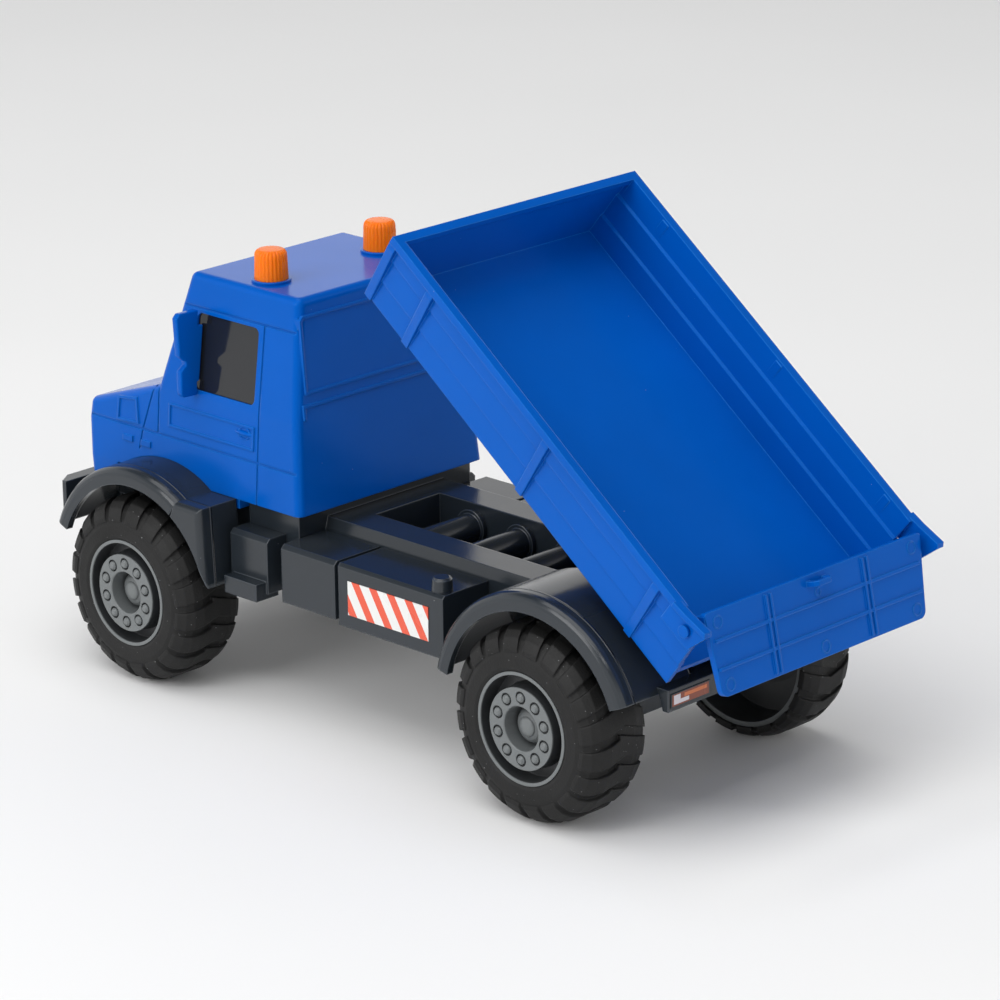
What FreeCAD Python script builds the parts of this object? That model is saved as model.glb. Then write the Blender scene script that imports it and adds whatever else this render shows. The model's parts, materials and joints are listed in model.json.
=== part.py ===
import FreeCAD, Part
import math
import os

# A toy dump truck: a two-axle chassis, a bonneted cab, a tipping bed and a swinging tailgate.
# Frame: +X to the front, +Y to the left, +Z up, ground at z = 0. The sub-parts are made with x = 0
# midway between the axles, and moved together at the end so that x = 0 is the middle of the length.

V = FreeCAD.Vector
DOC = FreeCAD.newDocument("dump_truck")

# Driving dimensions in millimetres, and angles in degrees.
DIMS = {
    "wheelbase": 204.0,
    "tyre_radius": 35.4,
    "wheel_width": 26.0,
    "tyre_bulge": 1.3,
    "tread_depth": 1.4,
    "lug_count": 20.0,
    "track_outer": 138.0,
    "rim_radius": 20.4,
    "rim_inner_radius": 30.6,
    "hub_disc_radius": 14.8,
    "hub_wall": 1.8,
    "nut_count": 10.0,
    "nut_circle": 11.4,
    "nut_radius": 1.6,
    "axle_radius": 2.0,
    "shaft_gap": 0.05,
    "rail_top": 71.8,
    "rail_bottom": 54.0,
    "rail_inner": 16.5,
    "rail_outer": 31.0,
    "rail_rear": 133.0,
    "deck_front": 141.0,
    "deck_half_width": 40.0,
    "deck_top": 78.0,
    "deck_bottom": 60.0,
    "skirt_rear": 32.5,
    "skirt_half_width": 44.2,
    "opening_front": 21.0,
    "box_outer": 54.0,
    "box_top": 67.0,
    "box_bottom": 43.5,
    "box_wall": 2.4,
    "fender_inner_radius": 40.3,
    "fender_outer_radius": 46.8,
    "fender_outer": 65.8,
    "cab_rear": 28.7,
    "cab_half_base": 47.5,
    "cab_half_belt": 44.9,
    "cab_half_roof": 39.0,
    "cab_base": 76.0,
    "cab_belt": 110.0,
    "cab_roof": 155.0,
    "cab_wall": 2.4,
    "nose_x": 144.2,
    "nose_base": 69.4,
    "beacon_radius": 6.3,
    "beacon_height": 10.6,
    "bed_angle": 37.75,
    "bed_rear_x": 159.7,
    "bed_rear_z": 61.0,
    "bed_length": 180.0,
    "bed_height": 31.1,
    "bed_half_floor": 55.9,
    "bed_half_rim": 61.1,
    "bed_wall": 2.0,
    "bed_floor": 2.6,
    "bed_level": 84.5,
    "pivot_drop": 7.0,
    "pivot_radius": 2.5,
    "gate_height": 29.4,
    "gate_half_top": 56.0,
    "gate_half_bottom": 53.0,
    "gate_plate": 2.2,
    "gate_angle": 49.6,
    "gate_pin_radius": 1.7,
}

SHEET = DOC.addObject("Spreadsheet::Sheet", "dims")
for row, (alias, size) in enumerate(DIMS.items(), start=1):
    SHEET.set("A%d" % row, alias)
    SHEET.set("B%d" % row, repr(size))
    SHEET.setAlias("B%d" % row, alias)
DOC.recompute()


def dim(alias):
    """The value of one cell of the sheet."""
    return float(SHEET.get(alias))


def bind(thing, **sizes):
    """Set properties of an object: a number directly, a text as an expression on the sheet."""
    for name, size in sizes.items():
        if isinstance(size, str):
            thing.setExpression(name, size)
        else:
            setattr(thing, name, size)


def unique(stem):
    """A new internal name."""
    unique.count += 1
    return "%s_%03d" % (stem, unique.count)


unique.count = 0


def at(thing, x=0.0, y=0.0, z=0.0, axis=V(0, 0, 1), angle=0.0):
    """Place an object, turned by an angle about an axis and then moved."""
    thing.Placement = FreeCAD.Placement(V(x, y, z), FreeCAD.Rotation(axis, angle))
    return thing


def box(x0, y0, z0, x1, y1, z1):
    """A block between two corners."""
    block = DOC.addObject("Part::Box", unique("block"))
    bind(block, Length=x1 - x0, Width=y1 - y0, Height=z1 - z0)
    return at(block, x0, y0, z0)


def rod_y(radius, x, z, y0, y1):
    """A cylinder along Y."""
    rod = DOC.addObject("Part::Cylinder", unique("rod"))
    bind(rod, Radius=radius, Height=y1 - y0)
    return at(rod, x, y0, z, V(1, 0, 0), -90)


def rod_z(radius, height, x, y, z):
    """A cylinder along Z."""
    rod = DOC.addObject("Part::Cylinder", unique("rod"))
    bind(rod, Radius=radius, Height=height)
    return at(rod, x, y, z)


def cone_z(low_radius, top_radius, height, x, y, z):
    """A tapered cylinder along Z."""
    cone = DOC.addObject("Part::Cone", unique("cone"))
    bind(cone, Radius1=low_radius, Radius2=top_radius, Height=height)
    return at(cone, x, y, z)


def cone_y(low_radius, top_radius, x, z, y0, y1):
    """A tapered cylinder along Y."""
    cone = DOC.addObject("Part::Cone", unique("cone"))
    bind(cone, Radius1=low_radius, Radius2=top_radius, Height=y1 - y0)
    return at(cone, x, y0, z, V(1, 0, 0), -90)


def rod_x(radius, y, z, x0, x1):
    """A cylinder along X."""
    rod = DOC.addObject("Part::Cylinder", unique("rod"))
    bind(rod, Radius=radius, Height=x1 - x0)
    return at(rod, x0, y, z, V(0, 1, 0), 90)


def fuse(*things):
    """One object made of several."""
    joined = DOC.addObject("Part::MultiFuse", unique("fuse"))
    joined.Shapes = list(things)
    joined.Refine = True
    return joined


def cut(base, *tools):
    """The base with every tool taken away."""
    rest = DOC.addObject("Part::Cut", unique("cut"))
    rest.Base = base
    rest.Tool = tools[0] if len(tools) == 1 else fuse(*tools)
    rest.Refine = True
    return rest


def common(first, second):
    """What two objects share."""
    shared = DOC.addObject("Part::Common", unique("common"))
    shared.Base = first
    shared.Tool = second
    return shared


def mirror(thing):
    """The same object on the other side of the truck."""
    image = DOC.addObject("Part::Mirroring", unique("mirror"))
    image.Source = thing
    image.Normal = V(0, 1, 0)
    return image


def rounded(thing, radius, test):
    """Fillet the edges whose middle point passes a test."""
    DOC.recompute()
    smooth = DOC.addObject("Part::Fillet", unique("fillet"))
    smooth.Base = thing
    chosen = []
    for number, edge in enumerate(thing.Shape.Edges, start=1):
        middle = edge.valueAt((edge.FirstParameter + edge.LastParameter) / 2)
        if test(middle, edge):
            chosen.append((number, radius, radius))
    smooth.Edges = chosen
    DOC.recompute()
    return smooth


def plane_of(body, role):
    """One of the origin planes or axes of a body."""
    return [item for item in body.Origin.OriginFeatures if item.Role == role][0]


def outline(body, role, points, lift=0.0):
    """A closed sketch of straight lines on an origin plane of a body."""
    sketch = body.newObject("Sketcher::SketchObject", unique("sketch"))
    sketch.AttachmentSupport = [(plane_of(body, role), "")]
    sketch.MapMode = "FlatFace"
    sketch.AttachmentOffset = FreeCAD.Placement(V(0, 0, lift), FreeCAD.Rotation())
    ends = points[1:] + points[:1]
    for (a, b), (c, d) in zip(points, ends):
        sketch.addGeometry(Part.LineSegment(V(a, b, 0), V(c, d, 0)), False)
    return sketch


def slab(role, points, length, lift=0.0, midplane=False):
    """A sketched outline padded to a length, which may be an expression."""
    body = DOC.addObject("PartDesign::Body", unique("body"))
    sketch = outline(body, role, points, lift)
    pad = body.newObject("PartDesign::Pad", unique("pad"))
    pad.Profile = sketch
    pad.Midplane = midplane
    bind(pad, Length=length)
    body.Tip = pad
    DOC.recompute()
    return body


def side_slab(points, length, middle_y=0.0):
    """An outline of (x, z) points padded along Y and centred on one Y."""
    body = slab("XZ_Plane", points, length, midplane=True)
    return at(body, 0, middle_y, 0)


def plan_slab(points, z, length):
    """An outline of (x, y) points padded upward from a height."""
    return at(slab("XY_Plane", points, length), 0, 0, z)


def cross_slab(points, x, length):
    """An outline of (y, z) points padded toward the front from one X."""
    return at(slab("YZ_Plane", points, length), x, 0, 0)


def turned(points, angle="360"):
    """An outline of (radius, y) points revolved about the Y axis."""
    body = DOC.addObject("PartDesign::Body", unique("body"))
    sketch = outline(body, "XY_Plane", points)
    turn = body.newObject("PartDesign::Revolution", unique("turn"))
    turn.Profile = sketch
    turn.ReferenceAxis = (sketch, ["V_Axis"])
    bind(turn, Angle=angle)
    body.Tip = turn
    DOC.recompute()
    return body


NODES = {}


def node(label, thing):
    """Name a finished sub-part."""
    DOC.recompute()
    thing.Label = label
    NODES[label] = thing
    return thing


# ---------------------------------------------------------------- wheels and axles

AXLE_X = {"front": dim("wheelbase") / 2, "rear": -dim("wheelbase") / 2}
AXLE_Z = dim("tyre_radius")
WHEEL_OUT = dim("track_outer") / 2
WHEEL_IN = WHEEL_OUT - dim("wheel_width")


def tyre():
    """A chunky tyre for the left side, its axis on the origin and its outer face at WHEEL_OUT."""
    r, s = dim("tyre_radius"), dim("tread_depth")
    rim, back = dim("rim_radius"), dim("rim_inner_radius")
    inner = WHEEL_IN - dim("tyre_bulge")
    body = turned([
        (rim, WHEEL_OUT - 0.6), (rim + 1.4, WHEEL_OUT), (r - 9.6, WHEEL_OUT), (r - 6.8, WHEEL_OUT - 0.8),
        (r - 4.2, WHEEL_OUT - 2.4), (r - 2.4, WHEEL_OUT - 4.8), (r - s, WHEEL_OUT - 8.4),
        (r - s, inner + 7.0), (r - 2.2, inner + 3.6), (r - 3.6, inner), (back + 0.4, WHEEL_IN),
        (back, WHEEL_IN), (back, WHEEL_OUT - 8.0), (rim, WHEEL_OUT - 5.0),
    ])
    middle = (WHEEL_OUT + inner) / 2
    lug_row(body, inner + 0.2, middle + 1.4, 0.0, -0.32)
    lug_row(body, middle - 1.4, WHEEL_OUT - 0.2, 9.0, 0.32)
    crown = turned([
        (rim, WHEEL_OUT + 1.0), (r - 9.0, WHEEL_OUT + 1.0), (r - 6.2, WHEEL_OUT - 0.3),
        (r - 3.2, WHEEL_OUT - 1.8), (r - 1.1, WHEEL_OUT - 4.4), (r, WHEEL_OUT - 8.0),
        (r, inner + 6.6), (r - 1.0, inner + 2.8), (r - 2.8, inner - 0.3), (r - 4.0, inner - 1.0),
        (back, inner - 1.0), (back, WHEEL_OUT - 8.0), (rim, WHEEL_OUT - 5.0),
    ])
    return common(body, crown)


def lug_row(body, y0, y1, start, slant):
    """A ring of slanted tread lugs between two Y values, taller than the crown that trims them."""
    r = dim("tyre_radius")
    lug = outline(body, "XZ_Plane", [(r - 8.0, -3.3), (r + 0.6, -3.7), (r + 0.6, 3.7), (r - 8.0, 3.3)])
    lug.AttachmentOffset = FreeCAD.Placement(V(0, 0, -y1), FreeCAD.Rotation(V(0, 0, 1), start))
    pad = body.newObject("PartDesign::Pad", unique("pad"))
    pad.Profile = lug
    pad.UseCustomVector = True
    turn = math.radians(start)
    pad.Direction = V(-slant * math.sin(turn), -1, slant * math.cos(turn))
    pad.AlongSketchNormal = True
    pad.Length = y1 - y0
    DOC.recompute()
    ring = body.newObject("PartDesign::PolarPattern", unique("ring"))
    ring.Originals = [pad]
    ring.Axis = (plane_of(body, "Y_Axis"), [""])
    ring.Angle = 360
    bind(ring, Occurrences="dims.lug_count")
    body.Tip = ring
    DOC.recompute()


def hub():
    """An open drum with a dished outer face, a nut ring and a sleeve for the axle."""
    wall, rim = dim("hub_wall"), dim("rim_radius")
    back, disc, face = dim("rim_inner_radius"), dim("hub_disc_radius"), WHEEL_OUT - 0.3
    bore = dim("axle_radius")
    profile = [
        (bore, face - 2.9), (3.3, face - 2.9), (3.6, face - 3.4), (4.9, face - 3.8), (6.0, face - 4.7),
        (6.7, face - 6.2), (7.0, face - 7.4), (7.5, face - 7.4), (8.0, face - 0.4), (8.4, face),
        (disc, face), (disc + 0.6, face - 7.0), (rim - 1.6, face - 7.0), (rim - 1.2, face),
        (rim, face), (rim, WHEEL_OUT - 5.0), (back, WHEEL_OUT - 8.0), (back, WHEEL_IN),
        (back - wall, WHEEL_IN), (back - wall, WHEEL_OUT - 10.2), (rim - 2.0, WHEEL_OUT - 9.4),
        (8.0, WHEEL_OUT - 9.6), (5.2, WHEEL_OUT - 10.0), (5.2, WHEEL_IN), (bore, WHEEL_IN),
    ]
    drum = turned(profile)
    nuts, wells = [], []
    count = int(dim("nut_count"))
    for i in range(count):
        turn = 2 * math.pi * (i + 0.5) / count
        x, z = dim("nut_circle") * math.cos(turn), dim("nut_circle") * math.sin(turn)
        wells.append(rod_y(dim("nut_radius") + 0.7, x, z, face - 1.0, face + 1.0))
        nuts.append(rod_y("dims.nut_radius", x, z, face - 1.2, face + 0.1))
        nuts.append(cone_y("dims.nut_radius", dim("nut_radius") - 0.6, x, z, face + 0.1, face + 0.8))
    return fuse(cut(drum, *wells), *nuts)


def wheels():
    """Two axles, each with a wheel pressed on at both ends."""
    rubber, drum = tyre(), hub()
    for end, x in AXLE_X.items():
        for side, sign in (("left", 1), ("right", -1)):
            for stem, source in (("tyre", rubber), ("hub", drum)):
                twin = DOC.addObject("Part::Mirroring", unique("twin"))
                twin.Source = source
                twin.Normal = V(0, 1, 0) if sign < 0 else V(1, 0, 0)
                at(twin, x, 0, AXLE_Z)
                node("%s_%s_%s" % (stem, end, side), twin)
        end_y = WHEEL_OUT - 4.2
        node("axle_" + end, rod_y("dims.axle_radius", x, AXLE_Z, -end_y, end_y))


# ---------------------------------------------------------------- chassis

RAIL_IN, RAIL_OUT = dim("rail_inner"), dim("rail_outer")
RAIL_TOP, RAIL_LOW = dim("rail_top"), dim("rail_bottom")
REAR = -dim("rail_rear")
FENDER_Z = AXLE_Z + 0.8
FENDER_BACK = 1.2
THETA = math.radians(dim("bed_angle"))
BED_X, BED_Z = -dim("bed_rear_x"), dim("bed_rear_z")
PIN_W = -dim("pivot_drop")
PIN_U = (dim("bed_level") - BED_Z - PIN_W * (math.cos(THETA) - 1)) / math.sin(THETA)
PIN_X = BED_X + PIN_U * math.cos(THETA) - PIN_W * math.sin(THETA)
PIN_Z = BED_Z + PIN_U * math.sin(THETA) + PIN_W * math.cos(THETA)


def rail(sign):
    """One long rail with a chamfered outer top edge."""
    profile = [
        (RAIL_IN, RAIL_LOW), (RAIL_OUT, RAIL_LOW), (RAIL_OUT, RAIL_TOP - 4.2),
        (RAIL_OUT - 1.2, RAIL_TOP), (RAIL_IN, RAIL_TOP),
    ]
    profile = [(sign * y, z) for y, z in profile]
    return cross_slab(profile, REAR, dim("deck_front") - REAR - 4.0)


def bearing(x):
    """A cross-beam that carries one axle."""
    block = box(x - 8, -41.2, 27.5, x + 8, 41.2, 45)
    post = box(x - 8, -RAIL_OUT, 44, x + 8, RAIL_OUT, RAIL_LOW + 1)
    return [block, post]


def pivot_ears():
    """Four upright ears that hold the bed's pivot pin."""
    ears = []
    for y0, y1 in ((17.0, 20.2), (27.4, 30.4)):
        for sign in (1, -1):
            low, high = sorted((sign * y0, sign * y1))
            ears.append(rod_y(4.8, PIN_X, PIN_Z, low, high))
            ears.append(box(PIN_X - 4.8, low, RAIL_TOP - 2, PIN_X + 4.8, high, PIN_Z))
    return ears


def chassis_frame():
    """The long frame: two rails, cross-beams, the deck under the cab and both axle beams."""
    deck_x0, deck_x1 = dim("skirt_rear"), dim("deck_front")
    half = dim("deck_half_width")
    parts = [rail(1), rail(-1)]
    parts.append(box(dim("opening_front"), -RAIL_IN, RAIL_LOW, deck_x0, RAIL_IN, RAIL_TOP))
    parts.append(box(REAR, -RAIL_IN, RAIL_LOW, REAR + 9, RAIL_IN, RAIL_TOP - 3))
    parts.append(box(-88, -RAIL_IN, RAIL_LOW, -80, RAIL_IN, RAIL_TOP - 3))
    parts.append(box(deck_x0, -half, dim("deck_bottom"), deck_x1 - 4, half, dim("deck_top") - 6))
    skirt = dim("skirt_half_width")
    parts.append(box(deck_x0, -skirt, dim("deck_bottom"), 59, skirt, dim("deck_top")))
    parts.append(box(deck_x1 - 30, -34, dim("deck_bottom"), deck_x1 - 4, 34, dim("deck_top") - 6))
    for x in AXLE_X.values():
        parts += bearing(x)
    parts += pivot_ears()
    frame = fuse(*parts)
    gap = dim("axle_radius") + dim("shaft_gap")
    tools = [rod_y(gap, x, AXLE_Z, -50, 50) for x in AXLE_X.values()]
    tools.append(rod_y("dims.pivot_radius", PIN_X, PIN_Z, -40, 40))
    bay_ends = [(REAR + 12, AXLE_X["rear"] - 12), (AXLE_X["rear"] + 12, -24), (-20, deck_x0 - 3)]
    for x0, x1 in bay_ends:
        for low in (RAIL_IN + 2.4, -RAIL_OUT + 2.4):
            tools.append(box(x0, low, RAIL_LOW - 1, x1, low + RAIL_OUT - RAIL_IN - 4.8, RAIL_TOP - 2.4))
    tools.append(box(deck_x0 + 2.4, -skirt + 2.4, dim("deck_bottom") - 1, 56.6, -RAIL_OUT - 1, 75.6))
    tools.append(box(deck_x0 + 2.4, RAIL_OUT + 1, dim("deck_bottom") - 1, 56.6, skirt - 2.4, 75.6))
    tools.append(box(deck_x0 + 2.4, -RAIL_IN, RAIL_LOW - 1, AXLE_X["front"] - 12, RAIL_IN, 69.4))
    tools.append(box(AXLE_X["front"] + 12, -RAIL_IN, RAIL_LOW - 1, deck_x1 - 8, RAIL_IN, 69.4))
    node("chassis_frame", cut(frame, *tools))


def fender(x, start, sweep):
    """An arched mudguard for the left side, from one angle above the front to another."""
    low, high = dim("fender_inner_radius"), dim("fender_outer_radius")
    out = dim("fender_outer")
    bend = 3.2
    turns = [math.radians(a) for a in (90, 67, 45, 23, 0)]
    shoulder = [(high - bend + bend * math.cos(a), out - bend + bend * math.sin(a)) for a in turns]
    profile = [(low, out)] + shoulder + [
        (high, RAIL_OUT), (high - 2.4, RAIL_OUT), (high - 2.6, out - 4.4), (low, out - 3.0),
    ]
    arch = turned(profile, sweep)
    return at(arch, x, 0, FENDER_Z, V(0, 1, 0), -start)


def fenders():
    """Two rear mudguards and two front ones, which end in a square block by the step."""
    rear = fender(AXLE_X["rear"] - FENDER_BACK, 158.0, 146.0)
    node("fender_rear_left", rear)
    node("fender_rear_right", mirror(rear))
    x, out, low = AXLE_X["front"] - FENDER_BACK, dim("fender_outer"), dim("fender_inner_radius")
    arch = fender(x, 122.0, 100.0)
    inner = box(0, 0, 0, 300, dim("deck_half_width"), 200)
    top = FENDER_Z + dim("fender_outer_radius") * math.sin(math.radians(122.0))
    block = side_slab([(x - 24.6, top), (x - 37.8, top), (x - 39.4, 42.5), (x - 10.0, 42.5)],
                      out - 47.0, (out + 47.0) / 2)
    well = rod_y(low, x, FENDER_Z, 30, out + 5)
    hollow = box(x - 37.0, 49.4, 40.0, x - 10.0, out - 2.6, top - 2.4)
    block = rounded(block, 2.6, lambda m, e: m.y > out - 0.1 and (m.z > top - 0.1 or m.x < x - 36))
    front = cut(fuse(arch, cut(block, well)), inner, cut(hollow, rod_y(low + 2.4, x, FENDER_Z, 30, out + 5)))
    node("fender_front_left", front)
    node("fender_front_right", mirror(front))


def crate(x0, x1, y0, y1, z0, z1, edge=1.6):
    """A side box open underneath, with its outer top edge chamfered."""
    profile = [(y0, z0), (y1, z0), (y1, z1 - edge), (y1 - edge, z1), (y0, z1)]
    wall = dim("box_wall")
    shell = cut(cross_slab(profile, x0, x1 - x0),
                box(x0 + wall, y0 + wall, z0 - 1, x1 - wall, y1 - wall, z1 - wall))
    if x1 - x0 < 40:
        return shell
    middle = (x0 + x1) / 2
    return fuse(shell, box(middle - 1, y0, z0, middle + 1, y1 - 0.5, z1 - 1))


def side_boxes():
    """The tool box, the battery box and the step on each side."""
    out, low, top = dim("box_outer"), dim("box_bottom"), dim("box_top")
    tool = crate(-50.5, 2.3, RAIL_OUT, out, low, top, 1.2)
    battery = crate(4.2, 32.0, RAIL_OUT, out, low + 1.5, top)
    upper = crate(39.5, 59.0, dim("skirt_half_width"), out, 46.0, top)
    lower = box(40.5, out - 6, 44.0, 57.5, out + 5.0, 50.6)
    hanger = box(39.5, RAIL_OUT, 50.0, 59.0, dim("skirt_half_width"), dim("deck_bottom"))
    step = fuse(cut(upper, box(38, out - 7, 40, 58, out - 2.5, 44)), lower, hanger)
    for stem, thing in (("tool_box", tool), ("battery_box", battery), ("step", step)):
        node(stem + "_left", thing)
        node(stem + "_right", mirror(thing))
    cap = fuse(cone_z(3.9, 3.6, 4.4, -45.6, 49.2, top), rod_z(3.0, 5.0, -45.6, 49.2, top))
    node("filler_cap_left", cap)
    node("filler_cap_right", mirror(cap))
    label = box(-43.4, out, 48.6, -2.8, out + 0.3, 61.4)
    node("hazard_label_left", label)
    node("hazard_label_right", mirror(label))


def cross_tubes():
    """Three tubes with collars on one tray, side by side across the open frame."""
    pieces = []
    for x in (3.5, -21.5, -46.5):
        pieces.append(rod_y(5.6, x, 62.5, -RAIL_IN, RAIL_IN))
        pieces.append(rod_y(7.0, x, 62.5, -RAIL_IN, -RAIL_IN + 2.0))
        pieces.append(rod_y(7.0, x, 62.5, RAIL_IN - 2.0, RAIL_IN))
    tray = box(-79.5, -RAIL_IN, RAIL_LOW, dim("opening_front") - 0.5, RAIL_IN, RAIL_LOW + 2.4)
    node("tube_tray", fuse(tray, *pieces))


def ends():
    """The front bumper and the rear light bar with its lamp labels."""
    x0 = dim("deck_front") - 4
    half_plan = [(x0 + 17, 51), (x0 + 13, 57), (x0 + 11, 57), (x0 + 11, 39), (x0, 39)]
    plan = half_plan + [(x, -y) for x, y in reversed(half_plan)]
    bar = plan_slab(plan, 50.0, 16.0)
    recess = box(x0 - 1, -36, 49, x0 + 12, 36, 63.4)
    node("front_bumper", fuse(cut(bar, recess), box(x0, -30, 60, x0 + 3, 30, 68)))
    bar = box(-151.0, -48.0, 48.3, -140.6, 48.0, 56.2)
    arm = box(-142.0, 18.0, 50.0, REAR, 29.0, 56.2)
    foot = box(REAR - 3, 18.0, 50.0, REAR, 29.0, 66.0)
    arch = rod_y(dim("fender_outer_radius") + 0.1, AXLE_X["rear"] - FENDER_BACK, FENDER_Z, 30.5, 60)
    node("light_bar", cut(fuse(bar, arm, foot, mirror(arm), mirror(foot)), arch, mirror(arch)))
    label = box(-151.3, 27.2, 49.6, -151.0, 46.8, 54.6)
    node("lamp_label_left", label)
    node("lamp_label_right", mirror(label))


# ---------------------------------------------------------------- cab


def cab_solid(inset, low=0.0):
    """The cab's outer volume, moved in by an inset or out by a negative one; low drops its base."""
    base, belt, roof = dim("cab_base"), dim("cab_belt"), dim("cab_roof")
    rear, nose, sill = dim("cab_rear") + inset, dim("nose_x") - inset, dim("nose_base") - low
    side = [
        (rear, base - low), (35.0 + inset, roof - inset), (93.0 - inset, roof - inset),
        (107.0 - inset, belt - inset), (145.0 - inset, 97.6 - inset), (146.0 - inset, 90.0),
        (nose, sill), (133.0, sill), (128.0, base - low),
    ]
    wide, mid, top = (dim(n) - inset for n in ("cab_half_base", "cab_half_belt", "cab_half_roof"))
    front = [(wide, 40.0), (wide, base), (mid, belt), (top, roof - inset)]
    return common(side_slab(side, 140.0), cross_slab(front + flip(front), 0, 200.0))


def strip(points, width):
    """Bars of one width along a run of (x, z) points, through both sides of the cab."""
    bars = []
    for (x0, z0), (x1, z1) in zip(points, points[1:]):
        run = math.hypot(x1 - x0, z1 - z0)
        ex, ez = (x1 - x0) / run * width / 2, (z1 - z0) / run * width / 2
        corners = [(x0 - ex - ez, z0 - ez + ex), (x1 + ex - ez, z1 + ez + ex),
                   (x1 + ex + ez, z1 + ez - ex), (x0 - ex + ez, z0 - ez - ex)]
        bars.append(side_slab(corners, 140.0))
    return bars


def side_grooves():
    """Shut lines in the cab's sides: belt line, door edges, roof gutter and bonnet joint."""
    return (strip([(31.0, 91.6), (143.0, 91.6)], 0.9) + strip([(51.6, 70.0), (51.6, 142.6)], 0.8)
            + strip([(36.0, 142.8), (98.0, 142.8)], 0.9) + strip([(106.0, 91.6), (106.0, 109.0)], 0.8)
            + strip([(108.6, 109.0), (114.6, 91.0), (116.0, 84.0)], 0.8))


def side_ridges():
    """Raised lines on the cab's sides: the door panel, the intake frame, markers and handle."""
    door = [(54.0, 96.2), (99.5, 96.2), (99.5, 104.4), (54.0, 104.4), (54.0, 96.2)]
    intake = [(117.0, 93.6), (128.4, 93.0), (127.8, 101.4), (118.2, 102.6), (117.0, 93.6)]
    bars = strip(door, 0.9) + strip(intake, 1.0)
    bars += strip([(121.0, 86.6), (124.0, 86.6)], 2.4) + strip([(111.0, 86.4), (114.0, 86.4)], 2.4)
    bars += strip([(55.0, 101.4), (61.0, 101.4)], 1.8)
    return bars


def rear_ridges():
    """Raised lines on the cab's rear wall: a large upper panel and the hook of a lower one."""
    rear = dim("cab_rear") - 2
    upper = [(-40, 120.2), (40, 120.2), (40, 147.5), (38.6, 149.0), (-38.6, 149.0), (-40, 147.5)]
    hollow = [(-38.9, 121.3), (38.9, 121.3), (38.9, 147.0), (38.0, 147.9), (-38.0, 147.9), (-38.9, 147.0)]
    frame = cut(cross_slab(upper, rear, 12.0), cross_slab(hollow, rear - 1, 14.0))
    lower = [box(rear, -41.0, 115.4, rear + 12.0, 41.0, 116.6)]
    lower += [box(rear, s * 41.0 - 0.6, 111.0, rear + 12.0, s * 41.0 + 0.6, 116.6) for s in (1, -1)]
    return fuse(frame, *lower)


WINDOW_TILT = math.degrees(math.atan2(dim("cab_half_belt") - dim("cab_half_roof"),
                                      dim("cab_roof") - dim("cab_belt")))


def leaning(block, corner, axis, angle, depth):
    """Place a block so that it leans about a point of the surface and starts at a depth below it."""
    turn = FreeCAD.Placement(corner, FreeCAD.Rotation(axis, angle))
    block.Placement = turn.multiply(FreeCAD.Placement(depth, FreeCAD.Rotation()))
    return block


def window_block(sign, x0, x1, depth0, depth1, low, high, radius):
    """A block with round corners that leans with the side wall, between two depths below its surface."""
    block = DOC.addObject("Part::Box", unique("pane"))
    rise = (high - low) / math.cos(math.radians(WINDOW_TILT))
    bind(block, Length=x1 - x0, Width=depth1 - depth0, Height=rise)
    face = dim("cab_half_belt") - (low - dim("cab_belt")) * math.tan(math.radians(WINDOW_TILT))
    shift = V(0, -depth1, 0) if sign > 0 else V(0, depth0, 0)
    leaning(block, V(x0, sign * face, low), V(1, 0, 0), sign * WINDOW_TILT, shift)
    return rounded(block, radius, lambda middle, edge: abs(edge.Length - (depth1 - depth0)) < 0.01)


SCREEN_TILT = math.degrees(math.atan2(107.0 - 93.0, dim("cab_roof") - dim("cab_belt")))


def screen_block(depth0, depth1, half, low, high, radius):
    """A block with round corners that leans with the windscreen."""
    block = DOC.addObject("Part::Box", unique("pane"))
    rise = (high - low) / math.cos(math.radians(SCREEN_TILT))
    bind(block, Length=depth1 - depth0, Width=2 * half, Height=rise)
    face = 107.0 - (low - dim("cab_belt")) * math.tan(math.radians(SCREEN_TILT))
    leaning(block, V(face, 0, low), V(0, 1, 0), -SCREEN_TILT, V(-depth1, -half, 0))
    return rounded(block, radius, lambda middle, edge: abs(edge.Length - (depth1 - depth0)) < 0.01)


def cab_corner(middle, edge):
    """Whether an edge is a corner of the cab: not its base, its belt line or the crease of the nose."""
    crease = abs(middle.z - dim("cab_belt")) < 0.5 or abs(middle.z - 90.0) < 0.5
    return not crease and (middle.z > dim("cab_base") + 1 or (middle.x > 140 and abs(middle.y) > 40))


def cab_posts():
    """Four posts inside the cab that stand on the deck."""
    posts = []
    for x, z in ((38.0, dim("deck_top")), (66.0, dim("deck_top") - 6)):
        for sign in (1, -1):
            y0, y1 = sorted((sign * 36.0, sign * 46.4))
            posts.append(box(x - 4, y0, z, x + 4, y1, 104.0))
    return common(fuse(*posts), cab_solid(0.5, 8.0))


def headlight(sign, radius, x0, x1):
    """A round rod along X through the corner of the nose."""
    return rod_x(radius, sign * 37.8, 83.0, x0, x1)


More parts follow.
